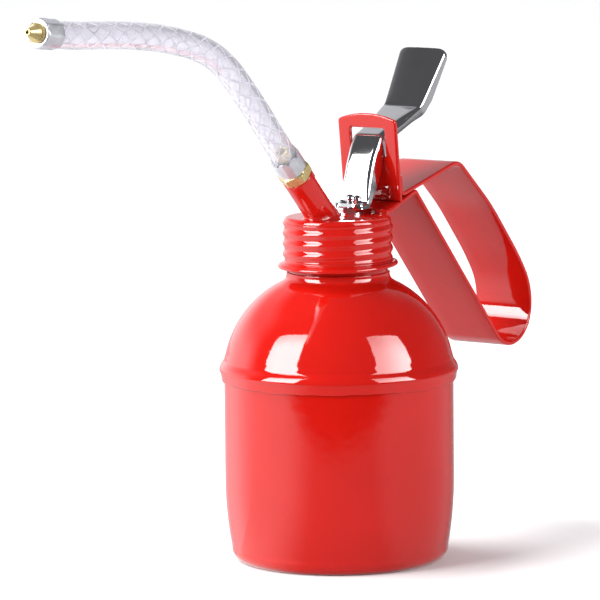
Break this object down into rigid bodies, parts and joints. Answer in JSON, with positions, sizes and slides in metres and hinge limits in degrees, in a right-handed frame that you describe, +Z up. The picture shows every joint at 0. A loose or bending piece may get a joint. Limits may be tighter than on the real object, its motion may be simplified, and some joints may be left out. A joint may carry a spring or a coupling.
{
  "type": "lever pump oil can",
  "caption": "Red pressed-steel lever oil can with screw-on pump head, thumb lever, loop handle and a short braided clear hose spout with a brass nozzle.",
  "frame": {"origin": "centre of the can's flat base, on the surface it stands on", "axes": "+Z up along the can's axis, +X towards the handle, -X towards the spout, Y across"},
  "size_m": [0.2627, 0.0782, 0.187],
  "materials": {
    "red_paint": "gloss red stoving enamel",
    "chrome": "bright chrome plate",
    "brass": "turned brass",
    "ferrule_aluminium": "satin crimped aluminium",
    "clear_hose": "clear flexible plastic with a braid inside",
    "gasket_rubber": "matte",
    "zinc_steel": "zinc plated",
    "ball_steel": "polished"
  },
  "bodies": {
    "reservoir": {"reservoir_cup": "red_paint", "reservoir_dome": "red_paint", "threaded_neck": "red_paint"},
    "gasket": {"cap_gasket": "gasket_rubber"},
    "pump_head": {"screw_cap": "red_paint", "pump_barrel": "zinc_steel", "barrel_plug": "brass", "gland_packing": "gasket_rubber", "gland_washer": "chrome", "gland_nut": "chrome", "delivery_tube": "zinc_steel", "spout_boss": "red_paint", "foot_valve_body": "brass", "foot_ball_retainer": "brass", "dip_tube": "zinc_steel", "inlet_strainer": "brass", "handle_strip": "red_paint", "lever_bracket": "red_paint", "hose_fitting": "brass", "base_ferrule": "ferrule_aluminium", "hose": "clear_hose", "tip_ferrule": "ferrule_aluminium", "nozzle_tip": "brass", "return_spring": "ball_steel"},
    "lever": {"thumb_lever": "chrome"},
    "plunger": {"pump_rod": "chrome", "rod_head": "chrome", "piston_body": "brass", "piston_seal": "gasket_rubber", "piston_seat": "brass"},
    "piston_check": {"piston_ball": "ball_steel"},
    "foot_check": {"foot_ball": "ball_steel"},
    "outlet_check": {"outlet_ball": "ball_steel"}
  },
  "joints": [
    {"name": "cap_lift", "type": "slide", "parent": "reservoir", "child": "gasket", "axis": [0, 0, 1], "range_m": [0, 0.01035]},
    {"name": "cap_turn", "type": "hinge", "parent": "gasket", "child": "pump_head", "pos_m": [0, 0, 0], "axis": [0, 0, 1], "range_deg": [0, 1079.9]},
    {"name": "lever_pivot", "type": "hinge", "parent": "pump_head", "child": "lever", "pos_m": [0.034, 0, 0.122], "axis": [0, 1, 0], "range_deg": [0, 22], "stiffness_Nm_per_rad": 0.9, "springref_deg": -14.32},
    {"name": "plunger_slide", "type": "slide", "parent": "pump_head", "child": "plunger", "axis": [0, 0, 1], "range_m": [0, 0.0106], "deforming": ["return_spring"]},
    {"name": "piston_ball_lift", "type": "slide", "parent": "plunger", "child": "piston_check", "axis": [0, 0, 1], "range_m": [0, 0.0015]},
    {"name": "foot_ball_lift", "type": "slide", "parent": "pump_head", "child": "foot_check", "axis": [0, 0, 1], "range_m": [0, 0.0009]},
    {"name": "outlet_ball_lift", "type": "slide", "parent": "pump_head", "child": "outlet_check", "axis": [-0.7071, 0, 0.7071], "range_m": [0, 0.002]}
  ],
  "couplings": [
    {"joint": "cap_turn", "follows": "cap_lift", "rad_per_m": 1821.2},
    {"joint": "lever_pivot", "follows": "plunger_slide", "rad_per_m": 36.2}
  ]
}
